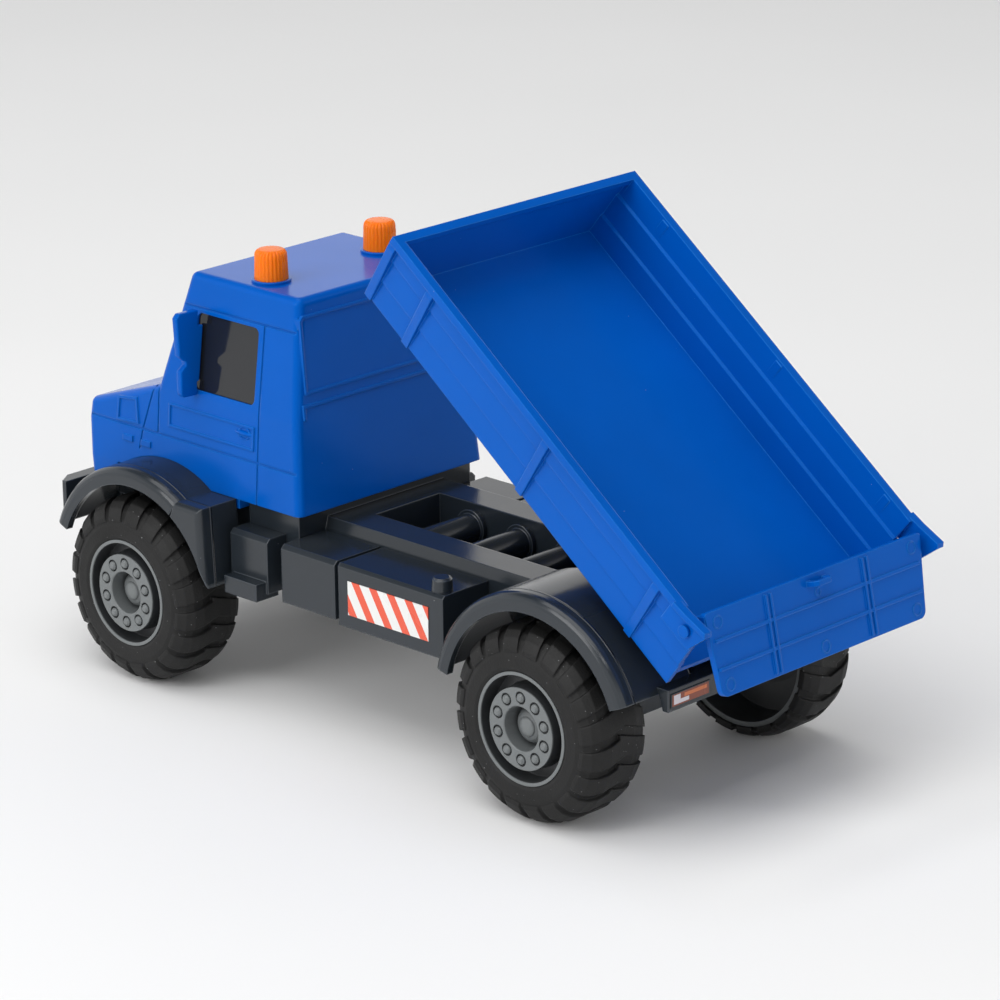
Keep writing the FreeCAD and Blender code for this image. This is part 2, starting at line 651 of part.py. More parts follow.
def cab():
    """The hollow cab with its window openings, wheel arches, posts, raised lines and inserts."""
    inset = dim("cab_wall")
    outer = rounded(cab_solid(0.0), 3.0, cab_corner)
    shell = cut(outer, cab_solid(inset, 12.0))
    raised = common(fuse(rear_ridges(), *side_ridges()), cut(cab_solid(-0.6), cab_solid(0.4)))
    grooves = common(fuse(*side_grooves()), cut(cab_solid(-0.6), cab_solid(0.5)))
    arch_x, arch_z = AXLE_X["front"] - FENDER_BACK, AXLE_Z + 0.4
    arch_radius = dim("fender_outer_radius") + 0.4
    tools = [rod_y(arch_radius, arch_x, arch_z, s - 12, s + 12) for s in (-48, 48)]
    tools += [window_block(s, 54.5, 87.5, -2.0, 6.0, 112.5, 141.0, 2.4) for s in (1, -1)]
    tools.append(screen_block(-3.0, 6.0, 34.0, 114.0, 147.0, 3.0))
    tools.append(box(138.0, -32.0, 74.0, 150.0, 32.0, 92.0))
    tools += [headlight(s, 4.5, 140.0, 150.0) for s in (1, -1)]
    tools.append(grooves)
    node("cab_shell", cut(fuse(shell, cab_posts(), raised), *tools))
    for side, sign in (("left", 1), ("right", -1)):
        node("window_" + side, window_block(sign, 54.5, 87.5, 0.8, 2.4, 112.5, 141.0, 2.4))
    node("windscreen", screen_block(0.6, 2.2, 34.0, 114.0, 147.0, 3.0))
    for side, sign in (("left", 1), ("right", -1)):
        node("headlight_" + side, headlight(sign, 4.5, 142.4, 146.6))
    bars = [box(141.6, -31.9, 75.0 + 4.0 * i, 143.6, 31.9, 77.2 + 4.0 * i) for i in range(4)]
    node("grille", fuse(box(140.0, -32.0, 74.0, 141.8, 32.0, 92.0), *bars))


def beacons():
    """A fluted cap on a round base, on each side of the roof."""
    r, roof = dim("beacon_radius"), dim("cab_roof")
    x, y = 61.6, 27.6
    base = rod_z(r + 1.0, 1.0, x, y, roof)
    cap = fuse(cone_z(r, r - 0.6, dim("beacon_height") - 1.0, x, y, roof + 1.0),
               cone_z(r - 0.6, r - 2.2, 1.4, x, y, roof + dim("beacon_height")))
    for stem, thing in (("beacon_base", base), ("beacon", cap)):
        node(stem + "_left", thing)
        node(stem + "_right", mirror(thing))


def mirrors():
    """A door mirror with a large and a small plate on one stem, fixed to the cab's side."""
    plate = cross_slab([
        (43.6, 143.0), (52.6, 143.2), (54.2, 141.6), (53.4, 127.0), (50.4, 124.8), (50.2, 123.2),
        (52.9, 121.2), (53.0, 112.6), (51.8, 111.2), (45.4, 110.8),
    ], 84.2, 2.8)
    stem = box(84.2, 40.0, 116.0, 87.0, 47.0, 137.0)
    left = cut(fuse(plate, stem), cab_solid(0.0))
    node("mirror_left", left)
    node("mirror_right", mirror(left))


# ---------------------------------------------------------------- bed and tailgate


def bed_place(thing):
    """Put an object made in the bed's own frame onto the truck."""
    thing.Placement = FreeCAD.Placement(V(BED_X, 0, BED_Z), FreeCAD.Rotation(V(0, 1, 0), -dim("bed_angle")))
    return thing


def plank_outer():
    """The outer half section of the bed: three planks, each further out than the one below, and a rim."""
    y0, y1, h = dim("bed_half_floor"), dim("bed_half_rim"), dim("bed_height")
    return [
        (y0, 0.0), (y0 + 0.4, 9.8), (y0 + 1.3, 10.4), (y0 + 1.7, 20.4), (y0 + 2.6, 21.0),
        (y0 + 3.0, h - 3.6), (y1, h - 2.9), (y1, h),
    ]


def plank_inner():
    """The inner half section of the bed, from the rim down to the floor."""
    y0, h, wall = dim("bed_half_floor") - dim("bed_wall"), dim("bed_height"), dim("bed_wall")
    return [
        (y0 + 3.0 + wall - 1.4, h), (y0 + 2.6, 22.4), (y0 + 1.7, 21.8), (y0 + 1.3, 11.8),
        (y0 + 0.4, 11.2), (y0, dim("bed_floor")),
    ]


def flip(points):
    """An outline's points on the other side of the middle plane, in reverse order."""
    return [(-y, z) for y, z in reversed(points)]


WALL_END = 3.2
FLOOR_END = 5.2
GATE_U, GATE_W = 7.0, 26.3


def rib(sign, u):
    """An upright tapered rib on the outside of a side wall."""
    y0, rim, h = dim("bed_half_floor"), dim("bed_half_rim"), dim("bed_height")
    profile = [(y0 - 1, 0.0), (y0 + 0.9, 0.0), (rim - 0.3, h - 5), (rim - 0.3, h - 1), (rim - 4.0, h - 1)]
    return cross_slab([(sign * y, z) for y, z in profile], u - 1.7, 3.4)


def ear(sign):
    """A pointed ear with a thick top edge at the rear corner of a side wall, which carries a tailgate pin."""
    h, rim = dim("bed_height"), dim("bed_half_rim")
    plate = [(17.0, h - 0.2), (10.0, h + 0.4), (0.4, h + 2.2), (-0.6, h + 0.8), (2.6, 21.2), (17.0, 21.2)]
    edge = [(16.0, h - 2.0), (16.0, h), (10.0, h + 0.6), (0.4, h + 2.2), (-0.6, h + 0.6), (9.4, h - 1.4)]
    return fuse(side_slab(plate, 2.2, sign * (rim - 1.1)), side_slab(edge, 3.4, sign * (rim - 0.5)))


def pivot_runner(sign):
    """A runner under the floor that ends in the eye of the bed's pivot."""
    y0, y1 = sorted((sign * 21.0, sign * 26.6))
    eye = rod_y(5.2, PIN_U, PIN_W, y0, y1)
    low = PIN_W - 5.2
    side = [(PIN_U - 3, 0.5), (PIN_U - 4.4, PIN_W + 2), (PIN_U, low), (166.0, low), (172.0, 0.5)]
    return fuse(eye, side_slab(side, 5.6, (y0 + y1) / 2))


def bed():
    """The tipping bed in its own frame: +X along the floor to the front, +Z away from the floor."""
    length, h, floor = dim("bed_length"), dim("bed_height"), dim("bed_floor")
    half, rim, wall = dim("bed_half_floor"), dim("bed_half_rim"), dim("bed_wall")
    section = plank_outer() + plank_inner()
    section += flip(section)
    trough = cross_slab(section, WALL_END, length - WALL_END)
    front = cross_slab(plank_outer() + flip(plank_outer()), length - wall, wall)
    lip = box(length - 3.4, -rim, h - 2.9, length, rim, h)
    ribs = [rib(sign, u) for sign in (1, -1) for u in (178.3, 156.0, 88.0, 25.0)]
    body = fuse(trough, front, lip, *ribs)
    ends = [box(WALL_END - 1, -half + wall, -1, FLOOR_END, half - wall, floor + 1)]
    for sign in (1, -1):
        y0, y1 = sorted((sign * 40.0, sign * 64.0))
        ends.append(box(WALL_END - 1, y0, 21.2, GATE_U + 6.0, y1, h + 1))
    extra = [ear(sign) for sign in (1, -1)] + [pivot_runner(sign) for sign in (1, -1)]
    gap = dim("shaft_gap")
    holes = [rod_y(dim("pivot_radius") + gap, PIN_U, PIN_W, -40, 40),
             rod_y(dim("gate_pin_radius") + gap, GATE_U, GATE_W, -70, 70)]
    node("bed", bed_place(cut(fuse(cut(body, *ends), *extra), *holes)))


def handle_loop(back, top):
    """A small pull at the top of the tailgate: a rounded loop that stands out, with a slot through it."""
    outer = plan_slab([(back + 0.3, -5.2), (back - 3.0, -4.4), (back - 4.2, -3.0), (back - 4.2, 3.0),
                       (back - 3.0, 4.4), (back + 0.3, 5.2)], top - 3.9, 1.8)
    slot = plan_slab([(back, -3.0), (back - 2.4, -2.4), (back - 2.4, 2.4), (back, 3.0)], top - 5.0, 4.0)
    return [cut(outer, slot)]


def tailgate():
    """The tailgate, made closed in the bed's frame and then swung open about its pins."""
    top = GATE_W + 4.4
    low = top - dim("gate_height")
    wide, narrow, thick = dim("gate_half_top"), dim("gate_half_bottom"), dim("gate_plate")
    back = GATE_U - 4.8
    plate = cross_slab([(narrow, low), (wide, top), (-wide, top), (-narrow, low)], back, thick)
    for radius, height in ((3.0, low), (1.2, top)):
        plate = rounded(plate, radius, lambda middle, edge: edge.Length < 4 and abs(middle.z - height) < 0.1)
    ribs = []
    for z in (low + 9.6, low + 19.4):
        ribs.append(box(back - 0.7, -wide + 3.0, z - 0.6, back + 0.3, wide - 3.0, z + 0.6))
    for y in (25.0, -25.0):
        ribs += [box(back - 0.8, y + e - 0.5, low + 1, back + 0.3, y + e + 0.5, top - 1) for e in (-1.2, 1.2)]
    ribs += handle_loop(back, top)
    marks = [(s * 50.4, top - 4.0, 2.3) for s in (1, -1)] + [(s * 48.8, low + 3.7, 2.3) for s in (1, -1)]
    marks += [(0.0, low + 3.6, 2.3), (0.0, top - 6.6, 1.5)]
    ribs += [cut(rod_x(r, y, z, back - 0.3, back + 0.3), rod_x(r - 0.4, y, z, back - 0.5, back + 0.5))
             for y, z, r in marks]
    pins = []
    for sign in (1, -1):
        y0, y1 = sorted((sign * 52.8, sign * wide))
        pins.append(rod_y(3.4, GATE_U, GATE_W, y0, y1))
        pins.append(box(back + 0.5, y0, GATE_W - 3.4, GATE_U, y1, GATE_W + 3.4))
        y0, y1 = sorted((sign * 55.0, sign * (dim("bed_half_rim") + 0.5)))
        pins.append(rod_y("dims.gate_pin_radius", GATE_U, GATE_W, y0, y1))
        y0, y1 = sorted((sign * (dim("bed_half_rim") + 0.3), sign * (dim("bed_half_rim") + 1.3)))
        pins.append(rod_y(dim("gate_pin_radius") + 0.5, GATE_U, GATE_W, y0, y1))
    gate = fuse(plate, *(ribs + pins))
    swing = FreeCAD.Placement(V(GATE_U, 0, GATE_W), FreeCAD.Rotation(V(0, 1, 0), dim("gate_angle")))
    to_pin = FreeCAD.Placement(V(-GATE_U, 0, -GATE_W), FreeCAD.Rotation())
    bed_frame = FreeCAD.Placement(V(BED_X, 0, BED_Z), FreeCAD.Rotation(V(0, 1, 0), -dim("bed_angle")))
    gate.Placement = bed_frame.multiply(swing).multiply(to_pin)
    node("tailgate", gate)


def pivot_pin():
    """The pin that the bed tips on, pressed into the frame's ears."""
    node("bed_pivot_pin", rod_y("dims.pivot_radius", PIN_X, PIN_Z, -30.4, 30.4))


wheels()
chassis_frame()
fenders()
side_boxes()
cross_tubes()
ends()
cab()
beacons()
mirrors()
bed()
tailgate()
pivot_pin()

DOC.recompute()


def overall_middle():
    """The X of the middle of the whole truck."""
    boxes = [thing.Shape.optimalBoundingBox() for thing in NODES.values()]
    return (min(b.XMin for b in boxes) + max(b.XMax for b in boxes)) / 2


def centred():
    """Every sub-part moved so that the origin is on the ground at the middle of the length."""
    shift = V(-overall_middle(), 0, 0)
    moved = {}
    for label, thing in NODES.items():
        thing.Label = label + "_build"
        part = DOC.addObject("Part::Compound", unique("part"))
        part.Links = [thing]
        part.Placement = FreeCAD.Placement(shift, FreeCAD.Rotation())
        part.Label = label
        moved[label] = part
    DOC.recompute()
    return moved


PARTS = centred()
for thing in DOC.Objects:
    if "Invalid" in thing.State or "Error" in thing.State:
        raise RuntimeError("%s failed: %s" % (thing.Name, thing.State))
for label, thing in PARTS.items():
    if thing.Shape.isNull() or not thing.Shape.isValid():
        raise RuntimeError("%s has no valid shape" % label)

os.makedirs("parts", exist_ok=True)
for label, thing in sorted(PARTS.items()):
    thing.Shape.exportStep("parts/%s.step" % label)
    print(label, len(thing.Shape.Solids), round(thing.Shape.Volume / 1000, 2))
print("middle of the length", round(overall_middle(), 4))
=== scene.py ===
import json
import math

import bmesh
import bpy
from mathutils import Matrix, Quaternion, Vector


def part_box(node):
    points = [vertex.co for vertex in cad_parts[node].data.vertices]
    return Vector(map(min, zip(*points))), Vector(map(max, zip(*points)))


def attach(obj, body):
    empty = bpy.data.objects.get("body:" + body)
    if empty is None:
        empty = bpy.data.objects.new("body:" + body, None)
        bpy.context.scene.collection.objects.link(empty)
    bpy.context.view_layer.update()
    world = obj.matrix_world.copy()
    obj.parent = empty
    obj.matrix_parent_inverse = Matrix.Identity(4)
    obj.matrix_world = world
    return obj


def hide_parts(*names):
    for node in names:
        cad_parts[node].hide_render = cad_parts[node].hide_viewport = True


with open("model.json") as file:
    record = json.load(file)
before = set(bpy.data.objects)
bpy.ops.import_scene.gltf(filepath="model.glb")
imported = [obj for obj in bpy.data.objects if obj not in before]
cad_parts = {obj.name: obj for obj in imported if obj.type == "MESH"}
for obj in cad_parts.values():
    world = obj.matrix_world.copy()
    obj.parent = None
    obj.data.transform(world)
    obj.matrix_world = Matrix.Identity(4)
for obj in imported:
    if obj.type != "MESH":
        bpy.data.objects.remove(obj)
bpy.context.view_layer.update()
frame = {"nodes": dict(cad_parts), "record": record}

MM = 0.001


# ---------------------------------------------------------------- colours

def linear(red, green, blue):
    """An sRGB colour, 0 to 255, as the linear RGBA that shaders use."""
    channels = [c / 255.0 for c in (red, green, blue)]
    bent = [c / 12.92 if c <= 0.04045 else ((c + 0.055) / 1.055) ** 2.4 for c in channels]
    return (*bent, 1.0)


BLUE = linear(0, 85, 180)
# Painted highlight: the lighter blue blended along the edges of the blue plastic.
BLUE_EDGE_HIGHLIGHT = linear(58, 150, 232)
BLUE_SHEEN = (0.12, 0.42, 1.0, 1.0)
ANTHRACITE = linear(36, 42, 48)
# Painted highlight: the lighter grey blended along the edges of the dark grey plastic.
DARK_EDGE_HIGHLIGHT = linear(122, 130, 138)
RUBBER = linear(13, 13, 13)
GREY_FACE = linear(108, 112, 113)
# Painted shade: the dark grey of the wheels' recesses and insides.
GREY_PAINTED_SHADE = linear(50, 52, 54)
ORANGE = linear(236, 114, 0)
GLASS = linear(28, 30, 34)
STEEL = linear(170, 172, 176)
WARNING_RED = linear(224, 88, 62)
WARNING_WHITE = linear(226, 226, 224)
LAMP_BROWN = linear(134, 66, 44)
LAMP_AMBER = linear(206, 112, 62)
LAMP_LENS = linear(214, 208, 212)
DUST = linear(205, 208, 210)
GRIT = linear(196, 198, 200)
WHITE = (1.0, 1.0, 1.0, 1.0)


# ---------------------------------------------------------------- node helpers

PLASTIC_IOR = 1.49
NOISE_RANGE = (0.3, 0.7)        # where nearly all of a noise's values lie
HIGHLIGHT_COSINES = (0.72, 0.99)     # of the softened against the true normal: full painted edge highlight, and none
HIGHLIGHT_SHARE = 0.34               # of the painted highlight colour on a fully highlighted edge


class Finish:
    """A material with its principled shader, and short calls for the nodes that feed it."""

    def __init__(self, name):
        self.material = bpy.data.materials.new(name)
        self.material.use_nodes = True
        self.tree = self.material.node_tree
        self.shader = self.tree.nodes["Principled BSDF"]
        self.place = self.add("ShaderNodeTexCoord").outputs["Object"]

    def add(self, kind, settings=None, **inputs):
        """A new node, with settings as attributes and inputs as values or links."""
        node = self.tree.nodes.new(kind)
        for key, value in (settings or {}).items():
            setattr(node, key, value)
        for key, value in inputs.items():
            self.feed(node.inputs[key.replace("_", " ")], value)
        return node

    def feed(self, socket, value):
        """Set a socket, by a link when the value is another node's output."""
        if isinstance(value, bpy.types.NodeSocket):
            self.tree.links.new(value, socket)
        else:
            socket.default_value = value

    def set(self, **inputs):
        """Set the shader's own sockets."""
        for key, value in inputs.items():
            self.feed(self.shader.inputs[key.replace("_", " ")], value)

    def base(self):
        """The output that colours the shader so far."""
        return self.shader.inputs["Base Color"].links[0].from_socket

    def axes(self):
        """The X, Y and Z of the place being shaded."""
        parts = self.add("ShaderNodeSeparateXYZ", Vector=self.place)
        return parts.outputs["X"], parts.outputs["Y"], parts.outputs["Z"]

    def noise(self, scale, detail=2.0, roughness=0.5):
        """A cloudy value between 0 and 1."""
        node = self.add("ShaderNodeTexNoise", Vector=self.place, Scale=scale, Detail=detail,
                        Roughness=roughness)
        return node.outputs["Fac"]

    def math(self, operation, first, second=0.0):
        """The result of an operation on one or two values."""
        node = self.add("ShaderNodeMath", {"operation": operation})
        self.feed(node.inputs[0], first)
        self.feed(node.inputs[1], second)
        return node.outputs[0]

    def spread(self, value, low, high, to_low, to_high):
        """Map one range of values on to another, held at its ends."""
        names = ("Value", "From Min", "From Max", "To Min", "To Max")
        node = self.add("ShaderNodeMapRange")
        for key, item in zip(names, (value, low, high, to_low, to_high)):
            self.feed(node.inputs[key], item)
        return node.outputs["Result"]

    def wander(self, noise, low, high):
        """Stretch a noise so that it goes from low to high."""
        return self.spread(noise, *NOISE_RANGE, low, high)

    def grey(self, shade):
        """A grey whose three channels are all one value."""
        return self.add("ShaderNodeCombineColor", Red=shade, Green=shade, Blue=shade).outputs["Color"]

    def mix(self, factor, first, second, blend="MIX"):
        """Mix two colours."""
        node = self.add("ShaderNodeMix", {"data_type": "RGBA", "blend_type": blend})
        self.feed(node.inputs["Factor"], factor)
        self.feed(node.inputs["A"], first)
        self.feed(node.inputs["B"], second)
        return node.outputs["Result"]

    def specks(self, scale, size, share):
        """A sparse scatter of tiny round spots: 1 on a spot and 0 elsewhere."""
        cells = self.add("ShaderNodeTexVoronoi", Vector=self.place, Scale=scale)
        spot = self.math("LESS_THAN", cells.outputs["Distance"], size)
        red = self.add("ShaderNodeSeparateColor", Color=cells.outputs["Color"]).outputs["Red"]
        return self.math("MULTIPLY", spot, self.math("LESS_THAN", red, share))

    def relief(self, height, depth, edge, edge_highlight=None):
        """Bump from a height map, over edges softened by a radius, with a painted highlight colour along
        them if one is given.
        """
        soft = self.add("ShaderNodeBevel", {"samples": 8}, Radius=edge).outputs["Normal"]
        bump = self.add("ShaderNodeBump", Height=height, Distance=depth, Normal=soft)
        self.set(Normal=bump.outputs["Normal"])
        # Painted highlight: a lighter colour along the softened edges.
        if edge_highlight:
            self.paint_edge_highlight(soft, edge_highlight)

    def paint_edge_highlight(self, soft, colour):
        """Blend a painted highlight colour into the base where the softened normal turns away from the true
        one, along edges.
        """
        true = self.add("ShaderNodeNewGeometry").outputs["Normal"]
        dot = self.add("ShaderNodeVectorMath", {"operation": "DOT_PRODUCT"})
        self.feed(dot.inputs[0], soft)
        self.feed(dot.inputs[1], true)
        share = self.spread(dot.outputs["Value"], *HIGHLIGHT_COSINES, HIGHLIGHT_SHARE, 0.0)
        self.set(Base_Color=self.mix(share, self.base(), colour))


def tint(finish, colour, dust=0.0):
    """Colour a plastic, with faint flow variation and pale dust specks."""
    shade = finish.wander(finish.noise(14.0, 3.0, 0.6), 0.93, 1.07)
    tinted = finish.mix(1.0, colour, finish.grey(shade), "MULTIPLY")
    if dust:
        tinted = finish.mix(finish.math("MULTIPLY", finish.specks(210.0, 0.045, 0.10), dust), tinted, DUST)
    finish.set(Base_Color=tinted)


def gloss(finish, roughness, spread=0.05):
    """Give a plastic a roughness that wanders to either side of one value."""
    smear = finish.noise(42.0, 4.0, 0.65)
    finish.set(Roughness=finish.wander(smear, roughness - spread, roughness + spread), IOR=PLASTIC_IOR)


def moulded(name, colour, roughness, grain, depth, edge, dust=0.0, spread=0.05, edge_highlight=None):
    """Injection-moulded plastic: faint flow variation, fine grain, soft edges, a little dust, and a painted
    edge highlight if one is given.
    """
    finish = Finish(name)
    tint(finish, colour, dust)
    gloss(finish, roughness, spread)
    finish.relief(finish.noise(grain), depth, edge, edge_highlight)
    return finish


# ---------------------------------------------------------------- finishes

DARK_GLOSS = 0.18
DARK_DUST = 0.4
DARK_EDGE_RADIUS = 0.8 * MM
GREY_GLOSS = 0.36
GREY_GRAIN = 2200.0
GREY_DEPTH = 0.04 * MM
GREY_EDGE_RADIUS = 0.4 * MM


def blue_finish():
    """Glossy blue polypropylene."""
    # The lighter blue along the edges is a painted highlight.
    finish = moulded("blue_plastic", BLUE, 0.17, 2600.0, 0.02 * MM, 0.6 * MM,
                     dust=0.2, spread=0.03, edge_highlight=BLUE_EDGE_HIGHLIGHT)
    finish.set(Specular_IOR_Level=0.30, Specular_Tint=BLUE_SHEEN)
    return finish.material


def anthracite_finish():
    """Semi-gloss dark grey polypropylene."""
    # The lighter grey along the edges is a painted highlight.
    return moulded("anthracite_plastic", ANTHRACITE, DARK_GLOSS, 1900.0, 0.03 * MM, DARK_EDGE_RADIUS,
                   dust=DARK_DUST, edge_highlight=DARK_EDGE_HIGHLIGHT).material


def fender_finish():
    """The dark grey plastic of the fenders, with a fine raised line along the outer edge of their tops."""
    inset, half_width, foot = 6.0 * MM, 0.15 * MM, 0.4 * MM
    finish = Finish("fender_plastic")
    tint(finish, ANTHRACITE, DARK_DUST)
    gloss(finish, DARK_GLOSS)
    y = finish.axes()[1]
    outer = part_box("fender_rear_left")[1].y
    off = finish.math("ABSOLUTE", finish.math("SUBTRACT", finish.math("ABSOLUTE", y), outer - inset))
    line = finish.spread(off, half_width, half_width + foot, 1.0, 0.0)
    # The lighter grey along the edges is a painted highlight.
    finish.relief(line, 0.3 * MM, DARK_EDGE_RADIUS, DARK_EDGE_HIGHLIGHT)
    return finish.material


def rubber_finish():
    """Matt black soft plastic with dust caught in its grain."""
    finish = moulded("tyre_plastic", RUBBER, 0.58, 1500.0, 0.1 * MM, 0.9 * MM, dust=0.35, spread=0.08)
    grit = finish.math("MULTIPLY", finish.specks(620.0, 0.10, 0.22), 0.30)
    finish.set(Base_Color=finish.mix(grit, finish.base(), GRIT), Specular_IOR_Level=0.38)
    return finish.material


def hub_finish(end, node):
    """The wheels of one axle: silver-grey on the raised faces, the middle and the back edge, with painted
    shade in dark grey everywhere deeper, darkening down the middle well.
    """
    low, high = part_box(node)
    outer, inner = max(abs(low.y), abs(high.y)), min(abs(low.y), abs(high.y))
    finish = Finish("hub_paint_" + end)
    gloss(finish, GREY_GLOSS)
    finish.relief(finish.noise(GREY_GRAIN), GREY_DEPTH, GREY_EDGE_RADIUS)
    x, y, z = finish.axes()
    aside = finish.math("SUBTRACT", x, (low.x + high.x) / 2)
    above = finish.math("SUBTRACT", z, (low.z + high.z) / 2)
    radius = finish.math("SQRT", finish.math("ADD", finish.math("MULTIPLY", aside, aside),
                                             finish.math("MULTIPLY", above, above)))
    out = finish.math("ABSOLUTE", y)
    nuts = finish.spread(out, outer - 1.5 * MM, outer - 1.1 * MM, 0.0, 1.0)
    middle = finish.spread(radius, 8.0 * MM, 8.4 * MM, 0.75, 0.0)
    # Painted shade: the middle well darkens the deeper it goes.
    rise = finish.spread(out, outer - 9.0 * MM, outer - 5.0 * MM, 0.3, 1.0)
    back_edge = finish.spread(out, inner + 0.2 * MM, inner + 0.6 * MM, 0.7, 0.0)
    boss = finish.math("MULTIPLY", middle, rise)
    # Painted shade: only the raised faces, the middle well and the back ring keep the plastic's grey; the
    # rest is painted dark.
    unshaded = finish.math("MAXIMUM", nuts, finish.math("MAXIMUM", boss, back_edge))
    finish.set(Base_Color=finish.mix(unshaded, GREY_PAINTED_SHADE, GREY_FACE))
    return finish.material


def grey_finish():
    """Silver-grey plastic of the headlights and the wheel caps."""
    return moulded("grey_plastic", GREY_FACE, GREY_GLOSS, GREY_GRAIN, GREY_DEPTH, GREY_EDGE_RADIUS).material


def orange_finish():
    """Slightly translucent orange plastic."""
    finish = moulded("beacon_plastic", ORANGE, 0.28, 2600.0, 0.03 * MM, 0.3 * MM)
    finish.set(Specular_IOR_Level=0.25, Subsurface_Weight=0.35, Subsurface_Scale=1.0,
               Subsurface_Radius=(4.0 * MM, 1.6 * MM, 0.4 * MM))
    return finish.material


def window_finish():
    """Dark smoked glossy plastic."""
    return moulded("window_plastic", GLASS, 0.09, 900.0, 0.01 * MM, 0.4 * MM,
                   dust=0.3, spread=0.02).material


def steel_finish():
    """Drawn steel, for the axles."""
    finish = Finish("axle_steel")
    streak = finish.noise(900.0)
    finish.set(Base_Color=STEEL, Metallic=1.0, Roughness=finish.wander(streak, 0.25, 0.42))
    finish.relief(streak, 0.02 * MM, 0.3 * MM)
    return finish.material


def printed(finish, colour, smoothest, roughest):
    """Close a sticker's finish: its print under a glossy film."""
    finish.set(Base_Color=colour, Roughness=finish.wander(finish.noise(60.0), smoothest, roughest),
               IOR=PLASTIC_IOR)
    finish.relief(finish.noise(1400.0), 0.01 * MM, 0.2 * MM)
    return finish.material


def warning_finish(node):
    """Slanted red and white stripes across a sticker, in the sticker's own measures."""
    pitch, slant, start, red_share = 8.95 * MM, 0.60, 2.0 * MM, 0.45
    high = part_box(node)[1]
    finish = Finish("warning_" + node)
    x, _, z = finish.axes()
    along = finish.math("SUBTRACT", high.x, x)
    down = finish.math("SUBTRACT", high.z, z)
    skewed = finish.math("SUBTRACT", along, finish.math("MULTIPLY", down, slant))
    turn = finish.math("FRACT", finish.math("DIVIDE", finish.math("SUBTRACT", skewed, start), pitch))
    stripes = finish.mix(finish.math("LESS_THAN", turn, red_share), WARNING_WHITE, WARNING_RED)
    return printed(finish, stripes, 0.24, 0.34)


def lamp_finish(node):
    """A printed rear lamp: a pale lens at the outer end, an amber bar and a brown ground in a dark frame."""
    low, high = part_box(node)
    side = 1.0 if low.y + high.y > 0 else -1.0
    outer = high.y if side > 0 else low.y
    finish = Finish("lamp_" + node)
    _, y, z = finish.axes()
    inward = finish.math("MULTIPLY", finish.math("SUBTRACT", outer, y), side / (high.y - low.y))
    up = finish.math("DIVIDE", finish.math("SUBTRACT", z, low.z), high.z - low.z)

    def patch(left, right, bottom, top):
        """1 inside a rectangle, given in shares of the label's length and height, and 0 outside."""
        sides = finish.math("MULTIPLY", finish.math("GREATER_THAN", inward, left),
                            finish.math("LESS_THAN", inward, right))
        ends = finish.math("MULTIPLY", finish.math("GREATER_THAN", up, bottom),
                           finish.math("LESS_THAN", up, top))
        return finish.math("MULTIPLY", sides, ends)

    ground = patch(0.03, 0.97, 0.08, 0.92)
    bar = patch(0.34, 0.92, 0.52, 0.78)
    lens = finish.math("MAXIMUM", patch(0.07, 0.24, 0.18, 0.84), patch(0.07, 0.46, 0.18, 0.46))
    tone = finish.mix(ground, ANTHRACITE, LAMP_BROWN)
    tone = finish.mix(bar, tone, LAMP_AMBER)
    tone = finish.mix(lens, tone, LAMP_LENS)
    return printed(finish, tone, 0.22, 0.30)


FINISHES = {
    "blue_plastic": blue_finish(),
    "chassis_plastic": anthracite_finish(),
    "fender_plastic": fender_finish(),
    "tyre_plastic": rubber_finish(),
    "hub_plastic": grey_finish(),
    "orange_plastic": orange_finish(),
    "window_plastic": window_finish(),
    "axle_steel": steel_finish(),
}


def paint(thing, material):
    """Give an object one material."""
    thing.data.materials.clear()
    thing.data.materials.append(material)


def dress_frame():
    """Every CAD node gets the finish of its material slot; fenders, hubs and stickers get their own."""
    hubs = {end: hub_finish(end, "hub_%s_left" % end) for end in ("front", "rear")}
    for part in frame["record"]["subparts"]:
        node, slot = part["node"], part["material_slot"]
        thing = frame["nodes"][node]
        if slot == "hazard_sticker":
            paint(thing, warning_finish(node))
        elif slot == "lamp_sticker":
            paint(thing, lamp_finish(node))
        elif node.startswith("fender_"):
            paint(thing, FINISHES["fender_plastic"])
        elif node.startswith("hub_"):
            paint(thing, hubs[node.split("_")[1]])
        else:
            paint(thing, FINISHES[slot])


# ---------------------------------------------------------------- pieces

# Levels of a beacon cap: share of its height, share of its radius, and depth of the flutes there.
BEACON_LEVELS = [(0.0, 1.0, 0.03), (0.80, 0.955, 0.035), (0.88, 0.93, 0.06), (0.95, 0.86, 0.08),
                 (0.99, 0.76, 0.05), (1.0, 0.66, 0.0), (1.0, 0.3, 0.0)]
# Levels of a wheel cap, in millimetres: radius, and place along Y from the wheel's outer face.
WHEEL_CAP_LEVELS = [(3.1, -4.5), (3.1, -3.7), (2.6, -3.4), (1.4, -3.25)]


def mesh_object(name, form):
    """An object in the scene made from a bmesh, which is freed."""
    mesh = bpy.data.meshes.new(name)
    form.to_mesh(mesh)
    form.free()
    thing = bpy.data.objects.new(name, mesh)
    bpy.context.scene.collection.objects.link(thing)
    return thing


def new_piece(name, build, material, body):
    """An object made by a function that fills a bmesh, riding on a body."""
    form = bmesh.new()
    build(form)
    bmesh.ops.recalc_face_normals(form, faces=form.faces)
    thing = mesh_object(name, form)
    paint(thing, material)
    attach(thing, body)
    return thing


def smooth(thing, angle):
    """Smooth shading that keeps edges sharper than an angle in degrees."""
    thing.data.shade_smooth()
    thing.data.set_sharp_from_angle(angle=math.radians(angle))


def turns(count):
    """Angles spaced evenly round a circle."""
    return [math.tau * i / count for i in range(count)]


def join_loops(form, first, second):
    """A band of quads between two loops of equal length."""
    count = len(first)
    for i in range(count):
        following = (i + 1) % count
        form.faces.new((first[i], first[following], second[following], second[i]))


